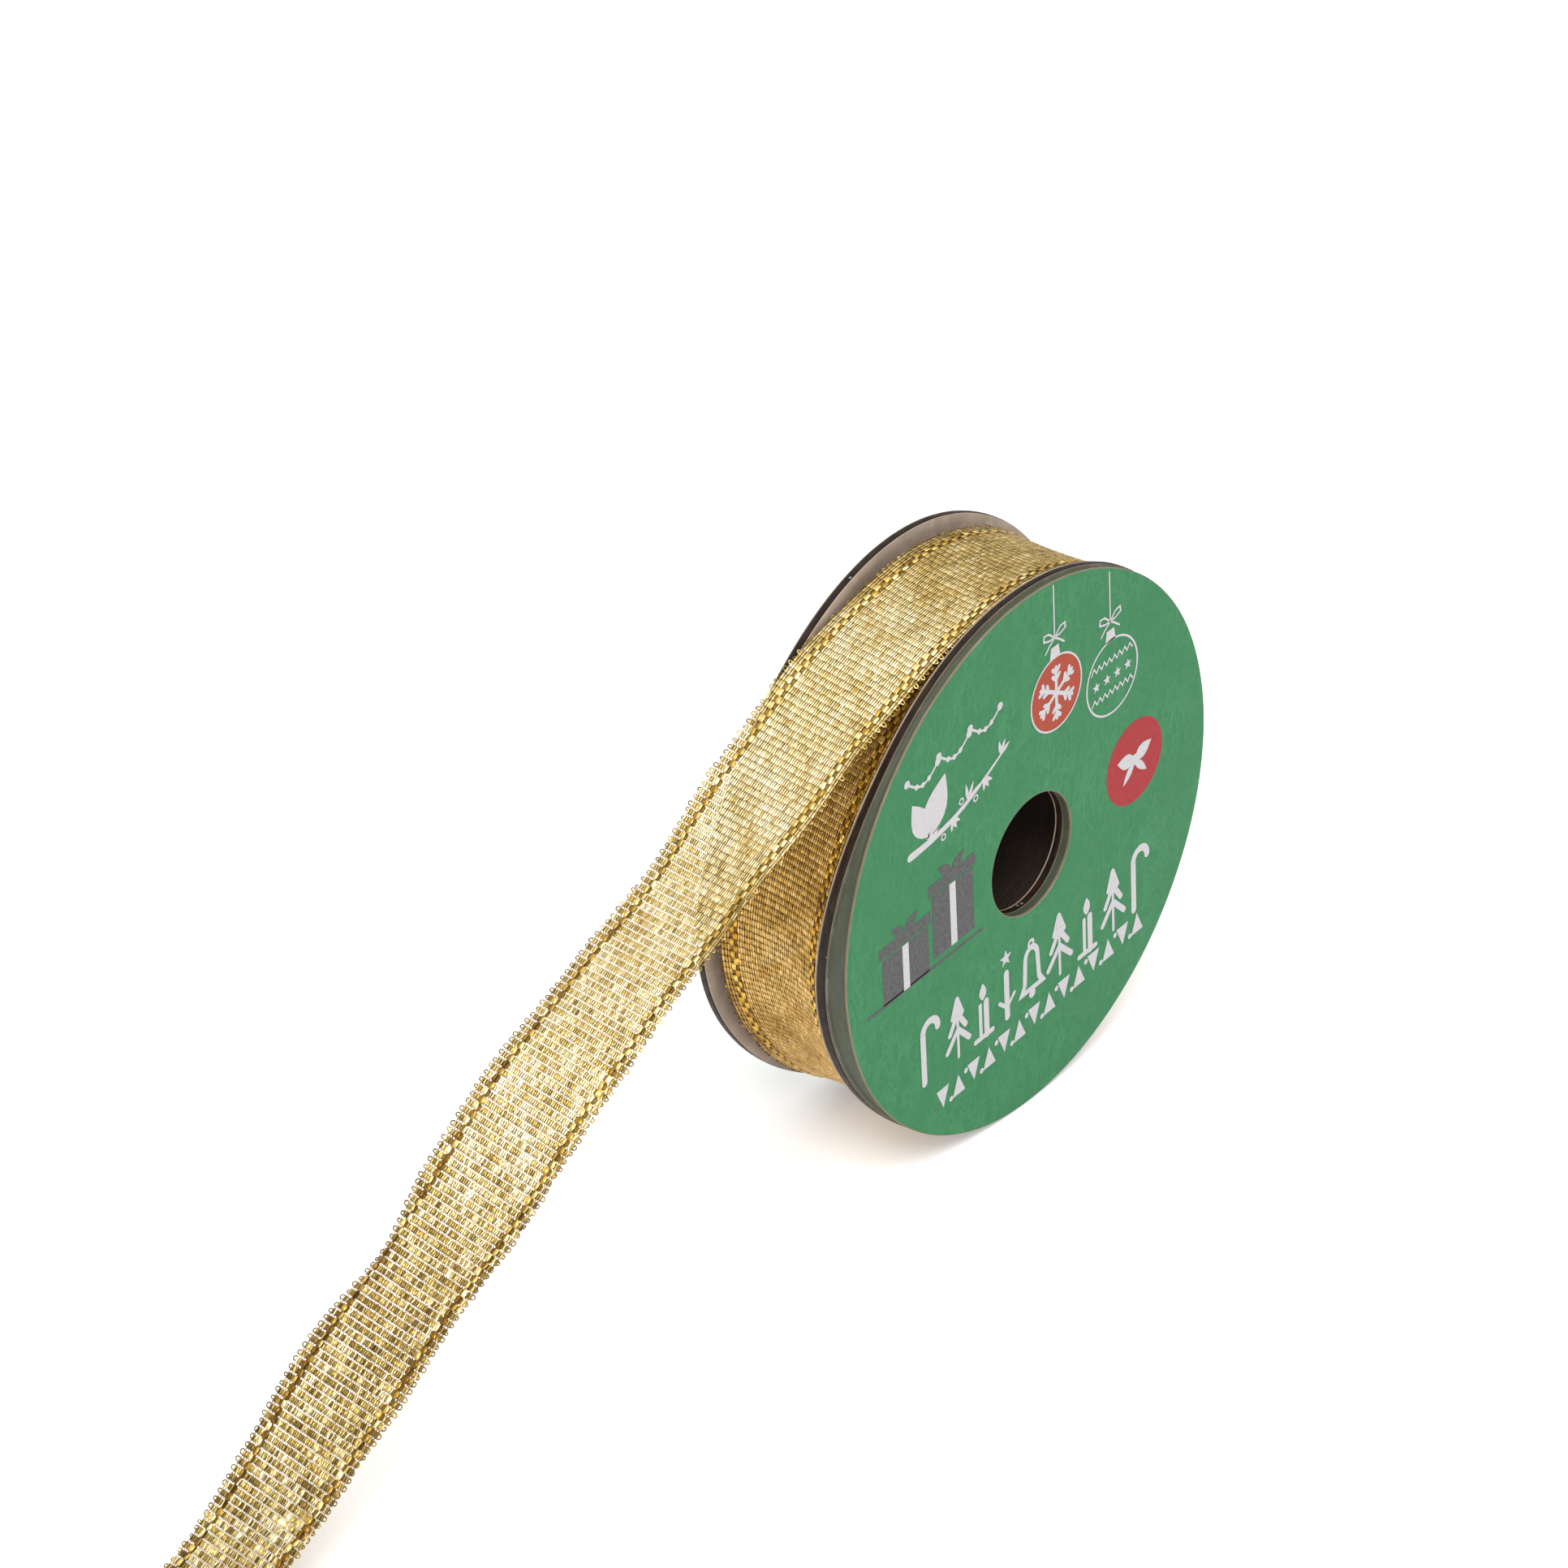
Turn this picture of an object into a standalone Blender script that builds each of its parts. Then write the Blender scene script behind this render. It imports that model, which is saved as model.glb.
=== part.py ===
"""Ribbon spool: two laminated card flanges on a paper core, wound with woven ribbon.

Metres, +Z up. The spool stands on its two rims on z = 0 with its axis along Y and its
printed front towards -Y. The ribbon leaves the top of the winding towards -X, runs down
to the table and lies flat there. x = 0 and y = 0 are the middle of the whole object.
"""

from math import cos, pi, radians, sin

import bmesh
import bpy

# Driving dimensions.
FLANGE_RADIUS = 0.0335
BORE_RADIUS = 0.0074
RIBBON_WIDTH = 0.015
RIBBON_CLEARANCE = 0.0002
CORE_RADIUS = 0.017
CORE_WALL = 0.0015

# The five plies of a flange, from the ribbon outwards, and the glue line between them.
# BACK_STEP is how much smaller still the spacer and the label are on the back.
GLUE_LINE = 0.00003
INNER_LINER = 0.00015
FLANGE_BOARD = 0.00075
OUTER_LINER = 0.00015
SPACER = 0.00075
LABEL = 0.0003
SPACER_SETBACK = 0.00035
LABEL_SETBACK = 0.0001
LINER_SETBACK = 0.00005
BACK_STEP = 0.0018

# The winding: full to just under the rims, and a little hollow across its width.
WINDING_EDGE_RADIUS = 0.0326
WINDING_HOLLOW = 0.0006
WINDING_ARC_STEPS = 8

# The tape that fixes the first turn to the core.
TAPE_THICKNESS = 0.00012
TAPE_WIDTH = 0.012
TAPE_ANGLE = radians(40)
INNER_GAP = 0.00015

# The free tail: a plain slab along the way the ribbon lies.
TAIL_THICKNESS = 0.0004
TAIL_LIFT = 0.0005
TAIL_START_ANGLE = radians(8)
TAIL_SLOPE = radians(31.4)
TAIL_CURL_LENGTH = 0.037
TAIL_LANDING_LENGTH = 0.018
TAIL_ON_TABLE = 0.026
TAIL_STEP = 0.003

ROUND_STEPS = 72

CHANNEL = RIBBON_WIDTH + 2 * RIBBON_CLEARANCE
AXIS_HEIGHT = FLANGE_RADIUS
COLLECTION = "ribbon_spool"


def clear_scene():
    """Removes every object of the scene."""
    for obj in list(bpy.data.objects):
        bpy.data.objects.remove(obj, do_unlink=True)


def material(name, colour, roughness, metallic=0.0):
    """A Principled material of one linear colour."""
    mat = bpy.data.materials.new(name)
    mat.use_nodes = True
    shader = mat.node_tree.nodes["Principled BSDF"]
    shader.inputs["Base Color"].default_value = (*colour, 1.0)
    shader.inputs["Roughness"].default_value = roughness
    shader.inputs["Metallic"].default_value = metallic
    return mat


def add_object(name, mesh, mat, axis_x):
    """Links a mesh as a named object whose origin is on the spool's axis."""
    obj = bpy.data.objects.new(name, mesh)
    obj.location = (axis_x, 0.0, AXIS_HEIGHT)
    mesh.materials.append(mat)
    bpy.data.collections[COLLECTION].objects.link(obj)
    return obj


def turned_ring(name, profile, mat, axis_x):
    """Turns a closed profile of (radius, height) points round the spool's axis.

    Height runs along the axis towards the front. The profile goes down the outer side
    first, and back up the inner side.
    """
    mesh = bpy.data.meshes.new(name)
    shape = bmesh.new()
    verts = [shape.verts.new((radius, 0.0, height)) for radius, height in profile]
    for i, vert in enumerate(verts):
        shape.edges.new((vert, verts[(i + 1) % len(verts)]))
    shape.to_mesh(mesh)
    shape.free()
    obj = add_object(name, mesh, mat, axis_x)
    obj.rotation_euler = (pi / 2, 0.0, 0.0)
    screw = obj.modifiers.new("turn", "SCREW")
    screw.axis = "Z"
    screw.angle = 2 * pi
    screw.steps = ROUND_STEPS
    screw.render_steps = ROUND_STEPS
    screw.use_merge_vertices = True
    screw.merge_threshold = 0.00001
    screw.use_smooth_shade = True
    return obj


def washer_profile(outer, inner, low, high):
    """The section of a flat ring from height low to height high."""
    return [(outer, high), (outer, low), (inner, low), (inner, high)]


def strip(name, points, width, thickness, mat, axis_x):
    """A flat band along (x, z) points, thickened evenly on both sides."""
    mesh = bpy.data.meshes.new(name)
    shape = bmesh.new()
    rows = [
        [shape.verts.new((x, side * width / 2, z)) for side in (-1, 1)]
        for x, z in points
    ]
    for near, far in zip(rows, rows[1:]):
        shape.faces.new((near[0], near[1], far[1], far[0]))
    shape.to_mesh(mesh)
    shape.free()
    obj = add_object(name, mesh, mat, axis_x)
    skin = obj.modifiers.new("thickness", "SOLIDIFY")
    skin.thickness = thickness
    skin.offset = 0.0
    mesh.shade_smooth()
    mesh.set_sharp_from_angle(angle=radians(40))
    return obj


def flange_plies(step):
    """Each ply of a flange: name, thickness and how far its edge is set back."""
    return [
        ("inner_liner", INNER_LINER, LINER_SETBACK),
        ("flange_board", FLANGE_BOARD, 0.0),
        ("outer_liner", OUTER_LINER, LINER_SETBACK),
        ("spacer", SPACER, SPACER_SETBACK + step),
        ("label", LABEL, LABEL_SETBACK + step),
    ]


def build_flange(side, sign, step, mats, axis_x):
    """The five glued discs of one side, from the ribbon outwards."""
    inside = CHANNEL / 2
    for ply, thickness, setback in flange_plies(step):
        outside = inside + thickness
        low, high = sorted((sign * inside, sign * outside))
        profile = washer_profile(FLANGE_RADIUS - setback, BORE_RADIUS, low, high)
        turned_ring(f"{side}_{ply}", profile, mats[ply], axis_x)
        inside = outside + GLUE_LINE


def build_core(mats, axis_x):
    """The paper tube that joins the two flanges."""
    half = CHANNEL / 2 - GLUE_LINE
    profile = washer_profile(CORE_RADIUS, CORE_RADIUS - CORE_WALL, -half, half)
    turned_ring("core_tube", profile, mats["core"], axis_x)


def build_tape(mats, axis_x):
    """The curved tab between the core and the first turn."""
    radius = CORE_RADIUS + INNER_GAP + TAPE_THICKNESS / 2
    steps = round(ROUND_STEPS * TAPE_ANGLE / (2 * pi))
    points = []
    for i in range(steps + 1):
        angle = i * 2 * pi / ROUND_STEPS
        points.append((radius * sin(angle), radius * cos(angle)))
    strip("start_tape", points, TAPE_WIDTH, TAPE_THICKNESS, mats["tape"], axis_x)


def build_winding(mats, axis_x):
    """All the wound turns as one ring, its outer face a shallow hollow."""
    half = RIBBON_WIDTH / 2
    profile = []
    for i in range(WINDING_ARC_STEPS + 1):
        across = 1 - 2 * i / WINDING_ARC_STEPS
        dip = WINDING_HOLLOW * (1 - across**2)
        profile.append((WINDING_EDGE_RADIUS - dip, across * half))
    inner = CORE_RADIUS + 2 * INNER_GAP + TAPE_THICKNESS
    profile += [(inner, -half), (inner, half)]
    turned_ring("ribbon_winding", profile, mats["ribbon"], axis_x)


def tail_points():
    """The tail's centre line from the winding to its cut end, about the spool's axis.

    The ribbon leaves along the winding's tangent, its curl eases into a straight run,
    and it bends level where it meets the table.
    """
    radius = WINDING_EDGE_RADIUS + TAIL_LIFT
    x = -radius * sin(TAIL_START_ANGLE)
    z = radius * cos(TAIL_START_ANGLE)
    points = [(x, z)]

    def run(length, slope_from, slope_to):
        nonlocal x, z
        steps = max(1, round(length / TAIL_STEP))
        for i in range(steps):
            slope = slope_from + (slope_to - slope_from) * (i + 0.5) / steps
            x -= cos(slope) * length / steps
            z -= sin(slope) * length / steps
            points.append((x, z))

    run(TAIL_CURL_LENGTH, TAIL_START_ANGLE, TAIL_SLOPE)
    table = TAIL_THICKNESS / 2 - AXIS_HEIGHT
    landing_drop = TAIL_LANDING_LENGTH * (1 - cos(TAIL_SLOPE)) / TAIL_SLOPE
    run((z - table - landing_drop) / sin(TAIL_SLOPE), TAIL_SLOPE, TAIL_SLOPE)
    run(TAIL_LANDING_LENGTH, TAIL_SLOPE, 0.0)
    z = table
    points[-1] = (x, z)
    run(TAIL_ON_TABLE, 0.0, 0.0)
    return points


def build_materials():
    """One material for each kind of stock that the spool is made of."""
    return {
        "label": material("printed_card", (0.065, 0.29, 0.122), 0.6),
        "spacer": material("grey_board", (0.11, 0.12, 0.1), 0.8),
        "outer_liner": material("outer_paper", (0.33, 0.27, 0.21), 0.8),
        "flange_board": material("brown_board", (0.035, 0.02, 0.017), 0.55),
        "inner_liner": material("inner_paper", (0.3, 0.25, 0.2), 0.8),
        "core": material("core_paper", (0.04, 0.025, 0.018), 0.85),
        "tape": material("clear_tape", (0.5, 0.45, 0.35), 0.3),
        "ribbon": material("wound_ribbon", (0.6, 0.36, 0.09), 0.35, 0.8),
        "tail": material("free_ribbon", (0.68, 0.45, 0.16), 0.35, 0.8),
    }


def build():
    """Builds the whole spool with its footprint centred on the origin."""
    clear_scene()
    collection = bpy.data.collections.new(COLLECTION)
    bpy.context.scene.collection.children.link(collection)
    mats = build_materials()
    points = tail_points()
    axis_x = -(points[-1][0] + FLANGE_RADIUS) / 2
    build_flange("front", 1, 0.0, mats, axis_x)
    build_flange("back", -1, BACK_STEP, mats, axis_x)
    build_core(mats, axis_x)
    build_tape(mats, axis_x)
    build_winding(mats, axis_x)
    strip("ribbon_tail", points, RIBBON_WIDTH, TAIL_THICKNESS, mats["tail"], axis_x)


build()
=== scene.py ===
"""Looks of the ribbon spool: woven gold ribbon between two printed card flanges.

Unless a name says otherwise, lengths are millimetres about the spool's axis: x to the
right, y from the printed front (-) to the back (+), z up. Angles round the spool start
at its top and grow towards -x, the side that the ribbon runs off to.
"""

from math import atan2, cos, pi, radians, sin, sqrt

import bmesh
import bpy
import numpy as np
from mathutils import Matrix, Vector
from mathutils.geometry import tessellate_polygon


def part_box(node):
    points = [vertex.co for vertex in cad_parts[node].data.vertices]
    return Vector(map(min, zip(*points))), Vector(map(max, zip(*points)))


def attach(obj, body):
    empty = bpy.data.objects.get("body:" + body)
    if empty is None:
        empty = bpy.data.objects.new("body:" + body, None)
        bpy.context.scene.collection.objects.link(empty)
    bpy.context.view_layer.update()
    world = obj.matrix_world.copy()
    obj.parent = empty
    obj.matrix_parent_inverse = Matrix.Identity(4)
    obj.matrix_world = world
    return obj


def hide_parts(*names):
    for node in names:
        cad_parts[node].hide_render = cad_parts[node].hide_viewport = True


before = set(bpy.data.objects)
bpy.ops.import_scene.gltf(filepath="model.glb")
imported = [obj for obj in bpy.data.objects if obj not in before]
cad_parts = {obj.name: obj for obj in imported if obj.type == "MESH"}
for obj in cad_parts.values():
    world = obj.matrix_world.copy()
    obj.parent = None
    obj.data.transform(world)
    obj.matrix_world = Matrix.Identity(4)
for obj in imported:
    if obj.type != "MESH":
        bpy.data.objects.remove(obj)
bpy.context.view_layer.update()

MM = 0.001
SEED = 12

# Sizes read from the frame.
RIM_LOW, RIM_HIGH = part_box("front_flange_board")
AXIS = Vector(((RIM_LOW.x + RIM_HIGH.x) / 2, 0.0, (RIM_LOW.z + RIM_HIGH.z) / 2))
FLANGE_R = (RIM_HIGH.z - RIM_LOW.z) / 2 / MM
TABLE_Z = -AXIS.z / MM
WINDING_R = (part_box("ribbon_winding")[1].z - AXIS.z) / MM
CORE_R = (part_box("core_tube")[1].z - AXIS.z) / MM

# The CAD's bore and its core tube's wall.
BORE_R = 7.4
CORE_WALL = 1.5

# How finely discs are divided: round the axis, from bore to rim, and over a rim.
ROUND_STEPS = 288
RADIAL_STEPS = 24
RIM_STEPS = 6
SHARP_ANGLE = radians(35)

# The ribbon inside its edge loops. Its floats form bands across it, which lean by SKEW.
# One turn on the spool is measured at TURN_R.
RIBBON_HALF = 7.25
HOLLOW = 0.6
SKEW = 0.11
TURN_R = WINDING_R + 0.35
BANDS_ROUND = 232
PITCH = 2 * pi * TURN_R / BANDS_ROUND
THREAD_PITCH = 0.304
THREAD_WIDTH = 0.225
FLOAT_LENGTH = 0.8
WEFT_WIDTH = 0.68
# The weft lies under the floats and is painted dark, as painted shade.
WEFT_SHADE_TONE = 0.12
NECK_SHADE = 0.45

# A thread's points across its width: its two sides and its middle.
THREAD_COLUMNS = np.array([-1.0, 0.0, 1.0])

# A chain of thicker floats runs along each edge, over a backing painted dark as painted shade in the
# chain's holes.
CHAIN_FRONT = -6.0
CHAIN_BACK = 5.65
CHAIN_HALF = 0.45
CHAIN_FLOAT = 0.84
# CHAIN_CONTRAST strengthens the chain floats' painted glints.
CHAIN_CONTRAST = 2.0

# The edge loops: the radius of their thread, and how far they stand out.
PICOT_THREAD = 0.08
PICOT_REACH = 0.3

# How far threads stray from an even weave, as standard deviations in mm or radians.
STRAY_ALONG = 0.022
STRAY_ACROSS = 0.012
STRAY_HEIGHT = 0.015
STRAY_ROLL = 0.16
STRAY_PITCH = 0.08

# The wound threads lie a little inside WINDING_R, and the turns under them further in.
THREADS_IN = 0.05
TURNS_UNDER_THREADS = 0.17

# At the left the front flange board bows towards the ribbon, its inner side by more than
# its outer side, and so the ribbon and the back flange's rim are pushed back there.
BOW_ANGLE = radians(103)
BOW_HALF_ANGLE = radians(60)
BOW_START_R = CORE_R + 2
BOW = 1.75
INNER_BOW = 2.25
BACK_BOW = 1.4

# The back flange leans out from the ribbon at its rim, except at the upper left. It was
# glued a little high.
FLARE = 1.5
FLAT_ANGLE = radians(50)
FLAT_HALF_ANGLE = radians(75)
BACK_RAISE = 0.4

# The free tail's centre line, close to its CAD solid's: it lies on the winding, leaves it
# at LEAVE_ANGLE, and eases into its slope and onto the table.
TAIL_R = 33.0
WRAP_ANGLE = radians(30)
LEAVE_ANGLE = radians(8)
TAIL_SLOPE = radians(31.4)
CURL_LENGTH = 37.0
LANDING_LENGTH = 18.0
ON_TABLE = 26.0
REST_HEIGHT = 0.24
TABLE_GAP = 0.02

# Its start is pressed down and narrowed. It hangs free from FREE_AFTER until LANDING_EASE
# before the table, and one edge curls under at CURL_PLACE.
START_DROP = 0.15
START_TAPER = 0.03
FREE_AFTER = 14.0
LANDING_EASE = 12.0
CURL_PLACE = 96.0

# On the spool the ribbon lies nearer to the front flange.
RIBBON_SHIFT = 0.2

# The label's print is turned a little, and its shapes lie on thin levels over the card.
LABEL_TURN = radians(4.5)
PRINT_LIFT = 0.012
BACK_PRINT_LIFT = 0.03
INK_STEP = 0.002
INK_LEVELS = 8
CAP_STEPS = 6

# The camera's direction and distance from the spool's axis, how far right and up of the
# axis it stands, and its lens.
CAMERA_AZIMUTH = radians(-51.264)
CAMERA_ELEVATION = radians(30.575)
CAMERA_DISTANCE = 592.2
CAMERA_RIGHT = -19.85
CAMERA_UP = 4.65
CAMERA_LENS = 121.1


# Materials


def set_stops(ramp, stops):
    """Each stop is a place from 0 to 1 and a linear colour or a grey value."""
    elements = ramp.color_ramp.elements
    while len(elements) < len(stops):
        elements.new(0.5)
    for element, (place, value) in zip(elements, stops):
        element.position = place
        colour = value if isinstance(value, tuple) else (value, value, value)
        element.color = (*colour, 1.0)


class Nodes:
    """Short calls for building one material's node tree."""

    def __init__(self, name):
        self.mat = bpy.data.materials.new(name)
        self.mat.use_nodes = True
        self.tree = self.mat.node_tree
        self.shader = self.tree.nodes["Principled BSDF"]
        self.coords = self.tree.nodes.new("ShaderNodeTexCoord").outputs["Object"]

    def link(self, source, target):
        self.tree.links.new(source, target)
        return source

    def set(self, **values):
        for name, value in values.items():
            self.shader.inputs[name.replace("_", " ")].default_value = value

    def stretched(self, scale, turn=(0.0, 0.0, 0.0)):
        return self.add("Mapping", Vector=self.coords, Scale=scale, Rotation=turn).outputs["Vector"]

    def noise(self, size_mm, detail=3.0, distortion=0.0, vector=None):
        node = self.add("TexNoise", Vector=vector or self.coords, Scale=1.0 / (size_mm * MM))
        node.inputs["Detail"].default_value = detail
        node.inputs["Distortion"].default_value = distortion
        return node.outputs["Fac"]

    def specks(self, size_mm):
        return self.add("TexVoronoi", Vector=self.coords, Scale=1.0 / (size_mm * MM)).outputs["Distance"]

    def attribute(self, name):
        node = self.add("Attribute")
        node.attribute_name = name
        return node.outputs["Fac"]

    def feed(self, socket, value):
        """Links a node's output to a socket, or sets it to a number, vector or colour."""
        if isinstance(value, bpy.types.NodeSocket):
            self.link(value, socket)
        elif socket.type == "RGBA":
            socket.default_value = (*value, 1.0)
        else:
            socket.default_value = value

    def add(self, kind, **inputs):
        node = self.tree.nodes.new("ShaderNode" + kind)
        for name, value in inputs.items():
            self.feed(node.inputs[name], value)
        return node

    def math(self, operation, first, second=0.0, clamp=False):
        node = self.add("Math")
        node.operation = operation
        node.use_clamp = clamp
        self.feed(node.inputs[0], first)
        self.feed(node.inputs[1], second)
        return node.outputs[0]

    def ramp(self, fac, *stops):
        node = self.add("ValToRGB", Fac=fac)
        set_stops(node, stops)
        return node.outputs["Color"]

    def mix(self, fac, first, second):
        node = self.add("Mix", Factor=fac)
        node.data_type = "RGBA"
        colours = [s for s in node.inputs if s.type == "RGBA"]
        self.feed(colours[0], first)
        self.feed(colours[1], second)
        return next(s for s in node.outputs if s.type == "RGBA")

    def bump(self, height, strength, distance_mm):
        node = self.add("Bump", Height=height, Strength=strength, Distance=distance_mm * MM)
        self.link(node.outputs["Normal"], self.shader.inputs["Normal"])

    def finish(self, colour, roughness=None):
        self.link(colour, self.shader.inputs["Base Color"])
        if roughness is not None:
            self.link(roughness, self.shader.inputs["Roughness"])
        return self.mat


def gold_thread(name, dark, middle, light, pale, metallic=0.8):
    """Metallised film yarn. The mesh's tone says how each float of the weave catches light."""
    n = Nodes(name)
    mottle = n.noise(0.9, 3.0)
    tone = n.math("ADD", n.attribute("tone"), n.math("MULTIPLY", mottle, 0.2))
    tone = n.math("SUBTRACT", tone, 0.1, clamp=True)
    colour = n.ramp(tone, (0.0, dark), (0.4, middle), (0.75, light), (1.0, pale))
    roughness = n.ramp(n.noise(0.25, 2.0), (0.3, 0.24), (0.7, 0.44))
    n.bump(n.noise(0.07, 2.0), 0.25, 0.02)
    n.set(Metallic=metallic, Specular_IOR_Level=0.5)
    return n.finish(colour, roughness)


def printed_card(name, colour, lighter, darker):
    """Matt printed card with a faint print of fine overlapping needles."""
    n = Nodes(name)
    lines = None
    for size, turn in ((5.0, 0.5), (3.4, 1.7), (2.3, 2.9)):
        vector = n.stretched((1.0, 1.0, 0.45), (0.0, turn, 0.0))
        field = n.noise(size, 5.0, 1.2, vector)
        ridge = n.math("ABSOLUTE", n.math("SUBTRACT", field, 0.5))
        line = n.ramp(ridge, (0.0, 1.0), (0.035, 0.0))
        lines = line if lines is None else n.math("MAXIMUM", lines, line)
    patches = n.ramp(n.noise(9.0, 2.0), (0.35, 0.15), (0.65, 0.9))
    base = n.ramp(n.noise(1.1, 4.0), (0.3, darker), (0.7, colour))
    needles = n.mix(n.math("MULTIPLY", lines, patches), base, lighter)
    roughness = n.ramp(n.noise(0.6), (0.3, 0.5), (0.7, 0.62))
    n.bump(n.noise(0.35, 4.0), 0.12, 0.05)
    n.set(Specular_IOR_Level=0.2)
    return n.finish(needles, roughness)


def paper_board(name, colour, fibre, roughness=0.8, layer_mm=0.3):
    """Raw board or paper: pressed layers across its thickness, with paler fibres."""
    n = Nodes(name)
    layers = n.noise(layer_mm, 4.0, 0.4, n.stretched((0.08, 1.0, 0.08)))
    cloud = n.noise(3.0, 3.0)
    body = n.ramp(cloud, (0.3, tuple(0.8 * c for c in colour)), (0.7, colour))
    fibres = n.math("MULTIPLY", n.ramp(layers, (0.52, 0.0), (0.7, 1.0)), 0.55)
    rough = n.ramp(n.noise(0.5), (0.3, roughness - 0.1), (0.7, roughness))
    n.bump(layers, 0.3, 0.06)
    return n.finish(n.mix(fibres, body, fibre), rough)


def brown_edge(name):
    """The dark cut edge of the flange board: slightly shiny, with a few pale specks."""
    n = Nodes(name)
    streaks = n.noise(0.5, 4.0, 0.3, n.stretched((0.25, 1.0, 0.25)))
    body = n.ramp(streaks, (0.35, (0.008, 0.004, 0.002)), (0.65, (0.026, 0.014, 0.008)))
    specks = n.ramp(n.specks(1.9), (0.0, 1.0), (0.11, 0.0))
    rough = n.ramp(n.noise(0.8), (0.3, 0.4), (0.7, 0.6))
    n.bump(streaks, 0.35, 0.05)
    n.set(Specular_IOR_Level=0.2)
    return n.finish(n.mix(specks, body, (0.42, 0.38, 0.33)), rough)


def ink(name, colour, worn):
    """Opaque print, slightly uneven where the card's tooth shows through."""
    n = Nodes(name)
    uneven = n.ramp(n.noise(0.45, 4.0), (0.3, 0.0), (0.75, 1.0))
    n.bump(n.noise(0.3, 3.0), 0.1, 0.04)
    rough = n.ramp(n.noise(0.7), (0.3, 0.48), (0.7, 0.6))
    n.set(Specular_IOR_Level=0.2)
    return n.finish(n.mix(uneven, colour, worn), rough)


def clear_tape(name):
    """Yellowed packing tape over the ribbon's first turn."""
    n = Nodes(name)
    crease = n.noise(1.5, 4.0, 0.8)
    colour = n.ramp(crease, (0.3, (0.46, 0.38, 0.24)), (0.7, (0.6, 0.53, 0.38)))
    n.bump(crease, 0.2, 0.05)
    n.set(Coat_Weight=0.5, Coat_Roughness=0.15)
    return n.finish(colour, n.ramp(crease, (0.3, 0.2), (0.7, 0.35)))


def floor_surface(name):
    """A pale, even studio sweep."""
    n = Nodes(name)
    colour = n.ramp(n.noise(60.0), (0.3, 0.9), (0.7, 0.93))
    n.set(Roughness=0.9, Specular_IOR_Level=0.1, Emission_Strength=0.3)
    n.link(colour, n.shader.inputs["Emission Color"])
    return n.finish(colour)


def build_materials():
    """Every surface by a short name, as linear colours."""
    return {
        "green": printed_card(
            "label_green", (0.026, 0.172, 0.065), (0.042, 0.205, 0.082), (0.023, 0.16, 0.059)
        ),
        "kraft": paper_board("kraft_edge", (0.19, 0.155, 0.095), (0.3, 0.25, 0.17)),
        "grey": paper_board("grey_board", (0.055, 0.068, 0.04), (0.095, 0.11, 0.07), 0.7),
        "liner": paper_board("liner_paper", (0.4, 0.31, 0.24), (0.52, 0.43, 0.34), 0.75),
        "edge_liner": paper_board("edge_liner_paper", (0.14, 0.125, 0.09), (0.24, 0.22, 0.17), 0.75),
        "brown": brown_edge("brown_board"),
        "core": paper_board("core_paper", (0.05, 0.032, 0.022), (0.09, 0.06, 0.04), 0.85),
        "tape": clear_tape("clear_tape"),
        "white_ink": ink("white_ink", (0.52, 0.5, 0.52), (0.45, 0.44, 0.45)),
        "orange_ink": ink("orange_ink", (0.34, 0.045, 0.018), (0.31, 0.044, 0.018)),
        "red_ink": ink("red_ink", (0.32, 0.016, 0.02), (0.3, 0.016, 0.02)),
        "grey_ink": ink("grey_ink", (0.058, 0.056, 0.06), (0.1, 0.1, 0.1)),
        "tail": gold_thread(
            "free_gold", (0.23, 0.14, 0.03), (0.65, 0.46, 0.145), (0.94, 0.81, 0.46), (0.99, 0.93, 0.7)
        ),
        "tail_chain": gold_thread(
            "free_chain", (0.26, 0.13, 0.015), (0.72, 0.46, 0.1), (0.95, 0.75, 0.28), (1.0, 0.88, 0.5)
        ),
        # Painted shade: the wound gold and wound chain are the free gold and chain painted darker and more
        # orange, for the shade on the spool and the gold light bounced between its turns.
        "wound": gold_thread(
            "wound_gold_shaded", (0.15, 0.07, 0.008), (0.56, 0.33, 0.075), (0.88, 0.61, 0.24), (0.98, 0.8, 0.44)
        ),
        "wound_chain": gold_thread(
            "wound_chain", (0.22, 0.1, 0.01), (0.6, 0.32, 0.03), (0.85, 0.54, 0.09), (0.98, 0.74, 0.26)
        ),
        # Painted shade: the backing behind the chains' holes is dark for the shade in the holes, not for a
        # dark thread.
        "hole_shade": gold_thread(
            "chain_hole_shade",
            (0.03, 0.014, 0.003),
            (0.07, 0.035, 0.006),
            (0.12, 0.07, 0.015),
            (0.2, 0.12, 0.03),
            metallic=0.3,
        ),
        "floor": floor_surface("studio_floor"),
    }


# Meshes


def set_tones(mesh, tones):
    """Gives each point its tone, from 0 for dark to 1 for pale, for the gold materials."""
    layer = mesh.attributes.new("tone", "FLOAT", "POINT")
    layer.data.foreach_set("value", np.asarray(tones, np.float32))


def add_mesh(name, verts_mm, faces, materials, body, smooth=True, tones=None, face_mats=None):
    """Makes an object on the spool's axis from points in mm, and lets it ride on a body."""
    mesh = bpy.data.meshes.new(name)
    mesh.from_pydata((np.asarray(verts_mm) * MM).tolist(), [], [list(f) for f in faces])
    for mat in materials:
        mesh.materials.append(mat)
    if face_mats is not None:
        mesh.polygons.foreach_set("material_index", np.asarray(face_mats, np.int32))
    if tones is not None:
        set_tones(mesh, tones)
    mesh.update()
    if smooth:
        mesh.shade_smooth()
    obj = bpy.data.objects.new(name, mesh)
    obj.location = AXIS
    bpy.context.scene.collection.objects.link(obj)
    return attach(obj, body)


def facing_out(obj):
    """Turns every face of a closed shape outwards, and shades it smooth up to sharp edges."""
    shape = bmesh.new()
    shape.from_mesh(obj.data)
    bmesh.ops.recalc_face_normals(shape, faces=shape.faces)
    shape.to_mesh(obj.data)
    shape.free()
    obj.data.shade_smooth()
    obj.data.set_sharp_from_angle(angle=SHARP_ANGLE)
    return obj


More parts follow.
